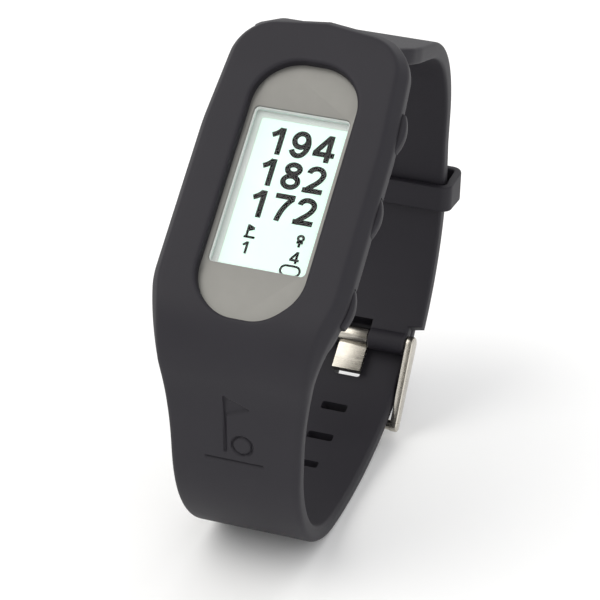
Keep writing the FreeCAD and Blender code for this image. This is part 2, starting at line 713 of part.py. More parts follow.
def main():
    """Stand the watch on its strap, with the middle of its box over the origin, and write it."""
    os.makedirs("parts", exist_ok=True)
    tilt = rest_tilt()
    shapes = {}
    for name, made in sub_parts().items():
        shape = made if not isinstance(made, list) else Part.makeCompound(made)
        shape.rotate(V(0, 0, 0), X_AXIS, tilt)
        shapes[name] = shape
    box = Part.makeCompound(list(shapes.values())).optimalBoundingBox(False, False)
    shift = V(-(box.XMin + box.XMax) / 2, -(box.YMin + box.YMax) / 2, -box.ZMin)
    for name, shape in shapes.items():
        shape.translate(shift)
        shape.exportStep("parts/" + name + ".step")
        print(name, "solids", len(shape.Solids), "valid", shape.isValid(), "volume", round(shape.Volume, 2))
    print("tilt", round(tilt, 3), "shift", [round(c, 4) for c in shift])
    print("box", [round(c, 2) for c in (box.XLength, box.YLength, box.ZLength)])
    for label, (y, z) in (("hinge", HINGE), ("far bar", FAR_BAR), ("keeper centre", keeper_centre())):
        p = FreeCAD.Rotation(X_AXIS, tilt).multVec(V(0, y, z)) + shift
        print(label, [round(c, 4) for c in p])


main()
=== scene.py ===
"""Golf GPS watch: the finished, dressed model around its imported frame.

Lengths in the classes below are millimetres in the watch frame (X to 3 o'clock, Y to 12 o'clock,
Z out of the face); Stand.row() turns them into the row frame's metres.
"""

import json
import logging
import math
from dataclasses import dataclass, field
from enum import Enum
from typing import Optional, Sequence

import bmesh
import bpy
import numpy as np
from mathutils import Matrix, Vector


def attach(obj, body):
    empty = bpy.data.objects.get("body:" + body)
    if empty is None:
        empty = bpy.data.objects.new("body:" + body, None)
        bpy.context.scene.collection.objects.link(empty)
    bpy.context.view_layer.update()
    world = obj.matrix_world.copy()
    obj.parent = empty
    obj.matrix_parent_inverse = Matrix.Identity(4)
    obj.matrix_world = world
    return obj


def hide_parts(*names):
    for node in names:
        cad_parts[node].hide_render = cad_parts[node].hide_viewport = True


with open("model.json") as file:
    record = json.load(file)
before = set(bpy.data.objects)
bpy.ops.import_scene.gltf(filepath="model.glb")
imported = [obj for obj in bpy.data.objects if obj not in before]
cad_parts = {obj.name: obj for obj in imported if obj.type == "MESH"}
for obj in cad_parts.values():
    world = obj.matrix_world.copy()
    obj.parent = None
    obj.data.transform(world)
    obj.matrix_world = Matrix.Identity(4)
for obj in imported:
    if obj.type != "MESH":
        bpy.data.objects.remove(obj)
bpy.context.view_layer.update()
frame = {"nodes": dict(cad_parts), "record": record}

logging.basicConfig(level=logging.INFO, format="%(name)s: %(message)s")
log = logging.getLogger("watch")

Array = np.ndarray
MM = 0.001


# ---- frames and the strap's side view ----

@dataclass(frozen=True)
class Stand:
    """How the watch stands on its closed strap: a tilt about X and a shift, in degrees and mm."""

    tilt: float = 38.833
    shift: tuple[float, float, float] = (-0.325, -17.5365, 54.7497)

    def row(self, points: Array) -> Array:
        """Turn watch points in mm into row points in metres: rotate about X, then shift."""
        c, s = math.cos(math.radians(self.tilt)), math.sin(math.radians(self.tilt))
        turn = np.array([[1, 0, 0], [0, c, -s], [0, s, c]])
        return (np.asarray(points, float) @ turn.T + np.array(self.shift)) * MM


STAND = Stand()


class Chain:
    """Tangent straights and arcs in the YZ plane, with points at any distance and inset."""

    def __init__(self, start: tuple[float, float], heading: float,
                 runs: Sequence[tuple[float, float]]) -> None:
        """Store the start of every run.

        Args:
            start: first point (y, z).
            heading: direction of travel there, in radians.
            runs: (length, turn in degrees) of every run.
        """
        rows = []
        y, z = start
        total = 0.0
        for length, turn in runs:
            bend = math.radians(turn)
            rows.append((total, y, z, heading, bend / length))
            y, z, heading = (float(v) for v in self._step(y, z, heading, bend / length, length))
            total += length
        self.table = np.array(rows)
        self.length = total
        self.end = (y, z, heading)

    @staticmethod
    def _step(y: Array, z: Array, heading: Array, curve: Array,
              ahead: Array) -> tuple[Array, Array, Array]:
        """Go ahead along a run of constant curvature: chord length times the mean direction."""
        half = np.asarray(curve * ahead / 2)
        chord = ahead * np.sinc(half / np.pi)
        mean = heading + half
        return y + chord * np.cos(mean), z + chord * np.sin(mean), heading + 2 * half

    def at(self, run: Array, inset: Array = 0.0) -> tuple[Array, Array, Array]:
        """Points at distances along the chain, moved inwards by the inset.

        Args:
            run: distances from the start.
            inset: how far to the left of the heading.

        Returns:
            y, z and heading.
        """
        run = np.asarray(run, float)
        index = np.searchsorted(self.table[:, 0], run, side="right") - 1
        index = np.clip(index, 0, len(self.table) - 1)
        start, y, z, heading, curve = np.moveaxis(self.table[index], -1, 0)
        y, z, heading = self._step(y, z, heading, curve, run - start)
        return y - inset * np.sin(heading), z + inset * np.cos(heading), heading


SIDE_TOP = -1.8
BAND_T = 2.4
LAYER_GAP = 0.15
TAIL_Y0 = -14.0
TAIL = Chain((TAIL_Y0, SIDE_TOP), math.pi,
             [(3.0, 0), (10.5, 54), (14.0, 0), (28.5, 81), (22.0, 17), (23.0, 42), (26.5, 42.6)])
HINGE_RUN = 95.3
BARREL_R = 1.65
UPPER_INSET = BAND_T + LAYER_GAP
BUTTONS = {"up": 12.2, "select": -0.5, "down": -14.0}
BUTTON_Z = -3.3


def on_band(x: Array, run: Array, height: Array) -> Array:
    """Watch point over the band's outer surface: x across, run along, height outwards."""
    y, z, _ = TAIL.at(run, -np.asarray(height))
    return np.stack(np.broadcast_arrays(np.asarray(x, float), y, z), -1)


def smoothstep(value: Array, low: float, high: float) -> Array:
    """Ease from 0 at low to 1 at high: 3 t squared minus 2 t cubed."""
    t = np.clip((np.asarray(value, float) - low) / (high - low), 0, 1)
    return t * t * (3 - 2 * t)


def rounded_path(corners: Array, radius: Sequence[float], steps: int = 5) -> Array:
    """Open path through corners whose inner ones are rounded.

    Each corner becomes a quadratic curve between two points at the radius (at most 0.45 of the
    leg) before and after it.

    Args:
        corners: array (..., corner, 2), the same number of corners for every station.
        radius: one value per inner corner.
        steps: points per rounded corner.

    Returns:
        Array (..., point, 2).
    """
    t = np.linspace(0, 1, steps)[:, None]
    made = [corners[..., :1, :]]
    for i, r in enumerate(radius, start=1):
        at = corners[..., i:i + 1, :]
        before, after = corners[..., i - 1:i, :] - at, corners[..., i + 1:i + 2, :] - at
        legs = []
        for leg in (before, after):
            size = np.maximum(np.linalg.norm(leg, axis=-1, keepdims=True), 1e-9)
            legs.append(at + leg / size * np.minimum(r, 0.45 * size))
        made.append((1 - t) ** 2 * legs[0] + 2 * t * (1 - t) * at + t ** 2 * legs[1])
    made.append(corners[..., -1:, :])
    return np.concatenate(made, axis=-2)


# ---- meshes ----

@dataclass
class Patchwork:
    """Grids and polygons gathered into one mesh."""

    points: list[Array] = field(default_factory=list)
    faces: list[Array] = field(default_factory=list)
    count: int = 0

    def grid(self, points: Array, wrap: bool = False) -> Array:
        """Add a grid of points with a quad in each cell.

        Args:
            points: array (rows, columns, 3).
            wrap: whether the last column joins the first.

        Returns:
            The index of each point.
        """
        rows, columns = points.shape[:2]
        index = np.arange(rows * columns).reshape(rows, columns) + self.count
        ring = np.concatenate([index, index[:, :1]], 1) if wrap else index
        quads = np.stack([ring[:-1, :-1], ring[:-1, 1:], ring[1:, 1:], ring[1:, :-1]], -1)
        self.points.append(points.reshape(-1, 3))
        self.faces.append(quads.reshape(-1, 4))
        self.count += rows * columns
        return index

    def fan(self, ring: Array, middle: Array) -> None:
        """Close a ring of point indices with triangles to a middle point."""
        self.points.append(np.asarray(middle, float).reshape(1, 3))
        after = np.roll(ring, -1)
        self.faces.append(np.stack([ring, after, np.full_like(ring, self.count)], -1))
        self.count += 1

    def build(self, name: str, merge: float = 0.0005) -> bpy.types.Object:
        """Make the object in the row frame, weld its seams and point its faces outwards.

        Args:
            name: name of the object.
            merge: welding distance in mm.

        Returns:
            The object.
        """
        mesh = bpy.data.meshes.new(name)
        polygons = [tuple(face) for block in self.faces for face in block.tolist()]
        mesh.from_pydata(STAND.row(np.concatenate(self.points)).tolist(), [], polygons)
        weld(mesh, merge * MM)
        obj = bpy.data.objects.new(name, mesh)
        bpy.context.scene.collection.objects.link(obj)
        return obj


def weld(mesh: bpy.types.Mesh, distance: float) -> None:
    """Merge doubles, drop flat faces, point faces outwards and shade smoothly."""
    bm = bmesh.new()
    bm.from_mesh(mesh)
    bmesh.ops.remove_doubles(bm, verts=bm.verts, dist=distance)
    bmesh.ops.dissolve_degenerate(bm, edges=bm.edges, dist=1e-8)
    bmesh.ops.recalc_face_normals(bm, faces=bm.faces)
    bm.to_mesh(mesh)
    bm.free()
    mesh.validate()
    mesh.shade_smooth()


def carve(obj: bpy.types.Object, cutter: bpy.types.Object) -> None:
    """Cut one mesh out of another and drop the cutter.

    Args:
        obj: object to cut, whose mesh is replaced.
        cutter: closed mesh to take away.
    """
    modifier = obj.modifiers.new("cut", "BOOLEAN")
    modifier.operation = "DIFFERENCE"
    modifier.solver = "EXACT"
    modifier.object = cutter
    graph = bpy.context.evaluated_depsgraph_get()
    mesh = bpy.data.meshes.new_from_object(obj.evaluated_get(graph))
    obj.modifiers.clear()
    obj.data = mesh
    bpy.data.objects.remove(cutter)


def rounded_rectangle(half_x: float, half_y: float, radius: float, points: Array,
                      centre: float) -> Array:
    """Nearest points on a rounded rectangle: the inner box's nearest point plus the corner radius.

    Args:
        half_x: half its width.
        half_y: half its length.
        radius: its corner radius.
        points: array (..., 2) of points outside it.
        centre: Y of its centre.

    Returns:
        Array like points.
    """
    box = np.array([half_x - radius, half_y - radius])
    local = points - np.array([0, centre])
    inner = np.clip(local, -box, box)
    way = local - inner
    way /= np.linalg.norm(way, axis=-1, keepdims=True)
    return inner + radius * way + np.array([0, centre])


def closed_ring(half_x: float, half_y: float, radius: float, centre: float,
                count: int = 200) -> Array:
    """Points (count, 2) of a rounded rectangle: evenly turned points of a far circle drawn in to it."""
    turn = np.linspace(0, 2 * np.pi, count, endpoint=False)
    far = np.stack([half_x * 1.5 * np.cos(turn), half_y * 1.5 * np.sin(turn) + centre], -1)
    return rounded_rectangle(half_x, half_y, radius, far, centre)


# ---- the wristband ----

@dataclass
class BandOutline:
    """Half width of the band along its run, and the housing's outline."""

    corners: tuple = ((0, 26.7, 0), (12.6, 25.2, 6.8), (13.8, 9, 40), (13.8, -15, 12), (9.6, -30, 25),
                      (8.95, -42, 0))
    tail_widths: tuple = ((-42, 8.95), (-12, 8.15), (40, 8.1))
    tip_radius: float = 3.6
    rise: float = 1.8
    fade: tuple[float, float] = (3.0, 18.0)

    def __post_init__(self) -> None:
        """Draw the right half of the outline, straight legs and true arcs."""
        at = np.array([c[:2] for c in self.corners], float)
        points = [at[:1]]
        for i in range(1, len(at) - 1):
            radius = self.corners[i][2]
            u, w = at[i - 1] - at[i], at[i + 1] - at[i]
            u, w = u / np.linalg.norm(u), w / np.linalg.norm(w)
            half = math.acos(float(u @ w)) / 2
            middle = (u + w) / np.linalg.norm(u + w)
            centre = at[i] + middle * radius / math.sin(half)
            first = at[i] + u * radius / math.tan(half)
            swing = (math.pi - 2 * half) * math.copysign(1, u[0] * w[1] - u[1] * w[0])
            turn = np.linspace(0, -swing, 16)
            arm = first - centre
            points.append(centre + np.stack([arm[0] * np.cos(turn) - arm[1] * np.sin(turn),
                                             arm[0] * np.sin(turn) + arm[1] * np.cos(turn)], -1))
        points.append(at[-1:])
        self.right = np.concatenate(points)
        runs = np.linspace(0, 40, 400)
        self.run_table = runs, TAIL.at(runs)[0]

    def run_of(self, y: Array) -> Array:
        """Run whose outer surface stands at this Y, on the housing and the upper front."""
        runs, ys = self.run_table
        return np.where(y > TAIL_Y0, TAIL_Y0 - y, np.interp(-y, -ys, runs))

    def half_width(self, run: Array) -> Array:
        """Half width at a run: the housing's outline, easing into the tail and its rounded end."""
        y = TAIL.at(run)[0]
        side = self.right[20:]
        front = np.interp(-y, -side[:, 1], side[:, 0])
        ys, ws = np.array(self.tail_widths).T
        wide = front + (np.interp(y, ys, ws) - front) * smoothstep(run, 34, 50)
        past = np.clip(run - (TAIL.length - self.tip_radius), 0, self.tip_radius)
        return wide - self.tip_radius + np.sqrt(self.tip_radius ** 2 - past ** 2)

    def height(self, run: Array) -> Array:
        """Rise of the front over the strap, fading out with a smooth step along the run."""
        return self.rise * (1 - smoothstep(run, *self.fade))


@dataclass
class Motif:
    """Sunken golf mark on the lower strap: a pennant on a pole over a ball and a short bar."""

    run: float = 21.0
    size: float = 4.2
    stroke: float = 0.34
    depth: float = 0.32

    def sink(self, x: Array, run: Array) -> Array:
        """Depth of the mark: distance to its strokes, eased over a tenth of a millimetre."""
        u, v = x / self.size, (self.run - run) / self.size
        line = self.stroke / self.size
        pole = self.bar(u + 0.30, v - 0.12, 0.0, 1.05) - line * 0.5
        edge = np.abs(v - 0.82) - (0.34 - 0.42 * (u + 0.25))
        pennant = np.maximum(np.maximum(edge, -(u + 0.25)), u - 0.62)
        ball = np.abs(np.hypot(u - 0.28, v + 0.62) - 0.34) - line * 0.5
        ground = self.bar(u, v + 1.28, 0.95, 0.0) - line * 0.55
        near = np.minimum(np.minimum(pole, pennant), np.minimum(ball, ground)) * self.size
        return self.depth * (1 - smoothstep(near, -0.09, 0.09))

    @staticmethod
    def bar(u: Array, v: Array, half_u: float, half_v: float) -> Array:
        """Distance to a straight stroke about the origin."""
        return np.hypot(u - np.clip(u, -half_u, half_u), v - np.clip(v, -half_v, half_v))


@dataclass
class Wristband:
    """The moulded silicone band: housing, lower strap and tail, and upper strap."""

    outline: BandOutline = field(default_factory=BandOutline)
    motif: Motif = field(default_factory=Motif)
    join_run: float = 9.0
    border: float = 2.2
    shoulder: float = 1.3
    soft: float = 0.45
    window: tuple[float, float, float, float] = (7.65, 19.1, 6.6, 0.3)
    pocket: tuple[float, float, float, float] = (10.0, 21.45, 7.0, -0.25)
    lip_back: float = -1.52
    columns: int = 95
    slot_first: float = 61.0
    slot_pitch: float = 7.0
    slot_count: int = 7
    slot: tuple[float, float] = (4.0, 1.6)
    upper_round: float = 0.55
    barrel_gap: float = 2.35
    barrel_end: float = 8.1
    worn_slot: int = 4
    worn_shift: float = 0.6
    worn_length: float = 2.0
    upper_runs: tuple = ((8.6, 0), (24.0, 66), (13.4, 0))
    upper_widths: tuple = ((-1, 10.2), (-2.8, 10.7), (-4.5, 11.7), (-7, 12.1), (-14, 11.8),
                           (-23, 11.4), (-40, 10.4), (-66, 9.9))
    button_hole: tuple[float, float, float] = (1.0, 2.9, 0.3)
    button_hole_x: tuple[float, float] = (10.2, 20.0)

    def edge_profile(self, run: Array) -> Array:
        """Section of the band's edge as (inset, height), from the flat front to the flat back."""
        rise = self.outline.height(run)
        part = rise / self.outline.rise
        zero = np.zeros_like(part)
        top = np.maximum(self.shoulder * part, self.soft)
        corners = np.stack([
            np.stack([zero + self.border, rise], -1), np.stack([top, rise], -1),
            np.stack([zero, -self.soft * (1 - part)], -1), np.stack([zero, zero - BAND_T + 0.4], -1),
            np.stack([zero + 0.4, zero - BAND_T], -1), np.stack([zero + self.border, zero - BAND_T], -1)], -2)
        return rounded_path(corners, (0.55, 0.45, 0.3, 0.3))

    def rim_line(self) -> tuple[Array, Array]:
        """Outline of the housing from the left join over the top to the right join.

        Returns:
            Points (x, run) and the unit normals that point inwards.
        """
        right = self.outline.right
        top = right[right[:, 1] > TAIL_Y0]
        runs = np.linspace(0, self.join_run, 24)
        side = np.stack([self.outline.half_width(runs), runs], -1)
        line = np.concatenate([np.stack([top[:, 0], TAIL_Y0 - top[:, 1]], -1), side])
        gone = np.concatenate([[0], np.cumsum(np.linalg.norm(np.diff(line, axis=0), axis=1))])
        even = np.linspace(0, gone[-1], 170)
        half = np.stack([np.interp(even, gone, line[:, k]) for k in (0, 1)], -1)
        whole = np.concatenate([half[:0:-1] * [-1, 1], half])
        tangent = np.gradient(whole, axis=0)
        normal = np.stack([-tangent[:, 1], tangent[:, 0]], -1)
        normal /= np.linalg.norm(normal, axis=1, keepdims=True)
        across = np.stack([-np.sign(whole[:, 0]), np.zeros(len(whole))], -1)
        mix = smoothstep(whole[:, 1], -8, 4)[:, None]
        normal = normal * (1 - mix) + across * mix
        return whole, normal / np.linalg.norm(normal, axis=1, keepdims=True)

    def front_points(self, flat: Array, height: Array) -> Array:
        """Watch points of the front over flat (x, y) places, at a height over the strap's surface."""
        return on_band(flat[..., 0], self.outline.run_of(flat[..., 1]), height)

    def housing(self, work: Patchwork) -> None:
        """Add the housing: edge strip, flat front, window, lip, pocket and underside."""
        line, normal = self.rim_line()
        profile = self.edge_profile(line[:, 1])
        place = line[:, None, :] + normal[:, None, :] * profile[..., :1]
        work.grid(on_band(place[..., 0], place[..., 1], profile[..., 1]))

        inner = line + normal * self.border
        half = self.outline.half_width(np.array([self.join_run]))[0] - self.border
        low = np.linspace(half, -half, self.columns)[1:-1]
        inner = np.concatenate([inner, np.stack([low, np.full_like(low, self.join_run)], -1)])
        flat = np.stack([inner[:, 0], TAIL.at(inner[:, 1])[0]], -1)
        edge = rounded_rectangle(*self.window[:3], flat, self.window[3])
        way = flat - edge
        way /= np.linalg.norm(way, axis=1, keepdims=True)
        round_in = 0.55
        start = edge + way * round_in
        t = np.linspace(0, 1, 14)[:, None, None]
        rows = flat * (1 - t) + start * t
        front = self.front_points(rows, self.outline.height(self.outline.run_of(rows[..., 1])))
        angle = np.linspace(0, np.pi / 2, 7)[1:, None, None]
        turned = edge + way * round_in * (1 - np.sin(angle))
        lip = self.front_points(turned, self.outline.height(self.outline.run_of(turned[..., 1])))
        lip[..., 2] -= round_in * (1 - np.cos(angle[..., 0]))
        wall = np.repeat(lip[-1:], 3, 0)
        wall[..., 2] += (self.lip_back - wall[..., 2]) * np.array([1 / 3, 2 / 3, 1])[:, None]
        pocket = rounded_rectangle(*self.pocket[:3], flat, self.pocket[3])
        lip_end = np.concatenate([pocket, np.full((len(pocket), 1), self.lip_back)], -1)[None]
        t = np.linspace(0, 1, 5)[:, None, None]
        rows = pocket * (1 - t) + flat * t
        under = self.front_points(rows, np.full(rows.shape[:2], -BAND_T))
        work.grid(np.concatenate([front, lip, wall, lip_end, under]), wrap=True)

    def stations(self) -> Array:
        """Runs of the tail's sections: fine at the mark, and turned evenly round the tip."""
        tip = TAIL.length - self.outline.tip_radius
        mark = self.motif.run
        return np.concatenate([np.linspace(self.join_run, mark - 6.6, 12, endpoint=False),
                               np.linspace(mark - 6.6, mark + 6.6, 90, endpoint=False),
                               np.linspace(mark + 6.6, tip, 130, endpoint=False),
                               tip + self.outline.tip_radius * np.sin(np.linspace(0, np.pi / 2, 16))])

    def tail(self, work: Patchwork) -> None:
        """Add the lower strap and tail as closed sections carried along the run."""
        run = self.stations()
        half = self.outline.half_width(run)
        edge = self.edge_profile(run)
        squeeze = np.minimum(1, half / (self.border + 0.6))[:, None]
        right_x = half[:, None] - edge[..., 0] * squeeze
        flat_half = right_x[:, :1]
        across = np.linspace(-1, 1, self.columns)[1:-1]
        x = np.concatenate([right_x, -flat_half * across, -right_x[:, ::-1], flat_half * across], 1)
        back = np.full((len(run), len(across)), -BAND_T)
        front = np.repeat(self.outline.height(run)[:, None], len(across), 1)
        front -= self.motif.sink(flat_half * across, run[:, None])
        height = np.concatenate([edge[..., 1], back, edge[:, ::-1, 1], front], 1)
        index = work.grid(on_band(x, run[:, None], height), wrap=True)
        work.fan(index[-1], on_band(0, TAIL.length, -BAND_T / 2))

    def rim(self, work: Patchwork) -> None:
        """Add the wall that grips the module, one section carried round the pocket."""
        corners = np.array([[0, -3.7], [0, -9.4], [1.5, -9.4], [2.75, -3.9], [2.75, -3.7]], float)
        section = rounded_path(corners, (0.3, 0.35, 0.01))
        half_x, half_y, radius, centre = self.pocket
        rings = [np.concatenate([closed_ring(half_x + e, half_y + e, radius + e, centre),
                                 np.full((200, 1), z)], 1) for e, z in section]
        work.grid(np.array(rings + rings[:1]), wrap=True)

    def cutters(self) -> bpy.types.Object:
        """Tongue slots and button openings as one set of closed blocks."""
        work = Patchwork()
        for i in range(self.slot_count):
            worn = i == self.worn_slot
            run = self.slot_first + i * self.slot_pitch + self.worn_shift * worn
            length = self.worn_length if worn else self.slot[1]
            ring = closed_ring(self.slot[0] / 2, length / 2, 0.35, 0, 32)
            heights = (1.0, -BAND_T - 1)
            shell = [on_band(ring[:, 0], run + ring[:, 1], np.full(32, h)) for h in heights]
            index = work.grid(np.array(shell), wrap=True)
            for row, h in zip(index, heights):
                work.fan(row, on_band(0, run, h))
        for y in BUTTONS.values():
            half_z, half_y, radius = self.button_hole
            ring = closed_ring(half_z, half_y, radius, y, 32)
            shell = [np.stack([np.full(32, x), ring[:, 1], ring[:, 0] + BUTTON_Z], -1)
                     for x in self.button_hole_x]
            index = work.grid(np.array(shell), wrap=True)
            for row, x in zip(index, self.button_hole_x):
                work.fan(row, np.array([x, y, BUTTON_Z]))
        return work.build("cutters")

    def upper(self) -> bpy.types.Object:
        """Upper strap: a rounded section carried from the spring bar up to the housing."""
        beyond = Chain(tuple(float(v) for v in TAIL.at(TAIL.length, UPPER_INSET)[:2]),
                       float(TAIL.at(TAIL.length)[2]), self.upper_runs)
        shared = np.concatenate([np.linspace(HINGE_RUN, HINGE_RUN + 3.0, 8),
                                 np.linspace(HINGE_RUN + 3.4, TAIL.length, 46)])
        ahead = np.linspace(0, beyond.length, 60)[1:]
        y0, z0, h0 = TAIL.at(shared, UPPER_INSET)
        y1, z1, h1 = beyond.at(ahead)
        y, z, heading = (np.concatenate(pair) for pair in ((y0, y1), (z0, z1), (h0, h1)))
        levels, widths = np.array(self.upper_widths)[::-1].T
        half = np.interp(z, levels, widths)
        half[:8] = self.barrel_end
        across = np.linspace(-1, 1, 15)[1:-1]
        corner = np.array([[1.6, 0], [0, 0], [0, BAND_T], [1.6, BAND_T]], float)
        edge = rounded_path(corner, (self.upper_round, self.upper_round))
        right = half[:, None] - edge[:, 0]
        flat = right[:, :1]
        x = np.concatenate([right, -flat * across, -right[:, ::-1], flat * across], 1)
        middle = np.zeros(len(across))
        inset = np.concatenate([edge[:, 1], middle + BAND_T, edge[::-1, 1], middle])
        points = np.stack([x, y[:, None] - inset * np.sin(heading)[:, None],
                           z[:, None] + inset * np.cos(heading)[:, None]], -1)
        work = Patchwork()
        index = work.grid(points, wrap=True)
        work.fan(index[0], points[0].mean(0))
        work.fan(index[-1], points[-1].mean(0))
        strap = work.build("upper_strap")
        gap = self.barrel_gap
        carve(strap, lathe("notch", [(0, -gap), (2.85, -gap), (2.85, gap), (0, gap)]))
        sleeves = Patchwork()
        for side in (-1, 1):
            end = self.barrel_end
            section = np.array([(0.76, gap), (1.4, gap), (BARREL_R, gap + 0.25), (BARREL_R, end - 0.25),
                                (1.4, end), (0.76, end), (0.76, gap)]) * [1, side]
            sleeves.grid(turned(section), wrap=True)
        return join([strap, sleeves.build("strap_barrels")], "upper_strap")

    def build(self) -> list[bpy.types.Object]:
        """Build both pieces of the band."""
        work = Patchwork()
        self.housing(work)
        self.tail(work)
        front = work.build("wristband_moulding")
        carve(front, self.cutters())
        rim = Patchwork()
        self.rim(rim)
        front = join([front, rim.build("rim")], "wristband_moulding")
        for piece in (front, upper := self.upper()):
            piece.data.shade_smooth()
            piece.data.set_sharp_from_angle(angle=math.radians(38))
        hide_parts("wristband")
        return [front, upper]


def join(objects: list[bpy.types.Object], name: str) -> bpy.types.Object:
    """Join meshes into one object, keeping every face."""
    bm = bmesh.new()
    for obj in objects:
        bm.from_mesh(obj.data)
    mesh = bpy.data.meshes.new(name)
    bm.to_mesh(mesh)
    bm.free()
    for obj in objects:
        bpy.data.objects.remove(obj)
    made = bpy.data.objects.new(name, mesh)
    bpy.context.scene.collection.objects.link(made)
    return made


HINGE = tuple(float(v) for v in TAIL.at(HINGE_RUN, UPPER_INSET + BARREL_R)[:2])


def turned(section: Array, centre: tuple[float, float] = HINGE, count: int = 40) -> Array:
    """Turn (radius, x) points about an axis along X: radius times cosine and sine of the turn."""
    turn = np.linspace(0, 2 * np.pi, count, endpoint=False)
    radius, x = np.asarray(section, float).T
    return np.stack([np.repeat(x[:, None], count, 1), centre[0] + radius[:, None] * np.cos(turn),
                     centre[1] + radius[:, None] * np.sin(turn)], -1)


def lathe(name: str, section: Sequence[tuple[float, float]]) -> bpy.types.Object:
    """Turned piece about the spring bar's axis."""
    work = Patchwork()
    work.grid(turned(np.array(section)), wrap=True)
    return work.build(name)


# ---- small pieces ----

@dataclass
class Keeper:
    """Loop that slides on the tail: a rounded wall section carried round a rounded rectangle."""

    run: float = 122.5
    width: float = 4.8
    wall: float = 1.1
    gap: float = 0.2
    half_x: float = 10.6
    corner: float = 0.6

    def build(self) -> bpy.types.Object:
        """Build the loop, bent with the strap's arc."""
        half_in = (UPPER_INSET + BAND_T) / 2 + self.gap
        middle = (UPPER_INSET + BAND_T) / 2
        w, t = self.width / 2, self.wall
        loop = np.array([[t / 2, -w], [t, -w], [t, w], [0, w], [0, -w], [t / 2, -w]], float)
        section = rounded_path(loop, (0.38, 0.38, 0.3, 0.3), 6)
        rings = []
        for out, along in section:
            ring = closed_ring(self.half_x + out, half_in + out, self.corner + out, middle, 160)
            rings.append(on_band(ring[:, 0], np.full(160, self.run + along), -ring[:, 1]))
        work = Patchwork()
        work.grid(np.array(rings), wrap=True)
        obj = work.build("keeper_loop")
        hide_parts("strap_keeper")
        return obj


@dataclass
class ButtonPad:
    """Silicone pad over a side key: a bowed, round-edged section carried along the side."""

    name: str
    y: float
    side: float = 13.8
    proud: float = 0.65
    half_y: float = 2.8
    half_z: float = 0.9
    back: float = 10.5

    def build(self) -> bpy.types.Object:
        """Build the pad: its crown stands out by one minus the square of the place along it."""
        u = np.concatenate([[-1, -0.985], np.linspace(-0.96, 0.96, 37), [0.985, 1]])
        crown = self.side + self.proud * (1 - u ** 2) - np.where(np.abs(u) > 0.99, 0.12, 0)
        hz = self.half_z - np.where(np.abs(u) > 0.99, 0.1, 0)
        back = np.full_like(u, self.back)
        corners = np.stack([np.stack([back, -hz], -1), np.stack([crown - 0.1, -hz], -1),
                            np.stack([crown + 0.02, 0 * hz], -1), np.stack([crown - 0.1, hz], -1),
                            np.stack([back, hz], -1)], -2)
        section = rounded_path(corners, (0.5, 0.6, 0.5), 7)
        points = np.stack([section[..., 0], np.repeat(self.y + self.half_y * u[:, None], section.shape[1], 1),
                           section[..., 1] + BUTTON_Z], -1)
        work = Patchwork()
        index = work.grid(points, wrap=True)
        work.fan(index[0], points[0].mean(0))
        work.fan(index[-1], points[-1].mean(0))
        obj = work.build("pad_" + self.name)
        obj.data.set_sharp_from_angle(angle=math.radians(50))
        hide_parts("button_cover_" + self.name)
        return obj


def arc(x: float, y: float, half_x: float, half_y: float, start: float, end: float,
        count: int = 24) -> Array:
    """Points of an elliptical arc: half widths times cosine and sine of the turn.

    Args:
        x: X of its centre.
        y: Y of its centre.
        half_x: half width.
        half_y: half height.
        start: first turn in degrees.
        end: last turn in degrees.
        count: how many points.

    Returns:
        Array (count, 2).
    """
    turn = np.radians(np.linspace(start, end, count))
    return np.stack([x + half_x * np.cos(turn), y + half_y * np.sin(turn)], -1)


def bend(*corners: tuple[float, float]) -> Array:
    """Quadratic curve from the first corner to the third, drawn to the second; a line through two."""
    at = np.array(corners, float)
    if len(at) == 2:
        return at
    t = np.linspace(0, 1, 14)[:, None]
    return (1 - t) ** 2 * at[0] + 2 * t * (1 - t) * at[1] + t ** 2 * at[2]


# Middle lines of the bold figures and marks, one unit tall.
FIGURE_STEP = 0.777
FIGURES = {
    "1": [bend((0.455, 0), (0.455, 1)), bend((0.43, 0.97), (0.34, 0.79), (0.13, 0.70))],
    "2": [arc(0.37, 0.695, 0.235, 0.215, 176, -8),
          bend((0.603, 0.67), (0.575, 0.47), (0.30, 0.24)),
          bend((0.32, 0.255), (0.19, 0.14), (0.13, 0.02)),
          bend((0.04, 0.088), (0.70, 0.088))],
    "4": [bend((0.53, 0), (0.53, 1)), bend((0.03, 0.285), (0.745, 0.285)),
          bend((0.505, 0.95), (0.09, 0.30))],
    "7": [bend((0.06, 0.905), (0.705, 0.905)), bend((0.655, 0.87), (0.34, 0.53), (0.29, 0))],
    "8": [arc(0.375, 0.748, 0.205, 0.165, 0, 360, 40), arc(0.375, 0.29, 0.24, 0.205, 0, 360, 40)],
    "9": [arc(0.35, 0.66, 0.225, 0.25, 0, 360, 40), arc(0.335, 0.50, 0.275, 0.415, 35, -148)],
    "flag": [bend((0.18, 0), (0.18, 1)), bend((0.18, 0.93), (0.62, 0.74)), bend((0.18, 0.55), (0.62, 0.74)),
             bend((0.24, 0.74), (0.50, 0.74)), bend((0.0, 0.02), (0.8, 0.02))],
    "tee": [arc(0.4, 0.72, 0.2, 0.2, 0, 360, 30), bend((0.16, 0.38), (0.64, 0.38)),
            bend((0.4, 0.38), (0.4, 0.0))],
}


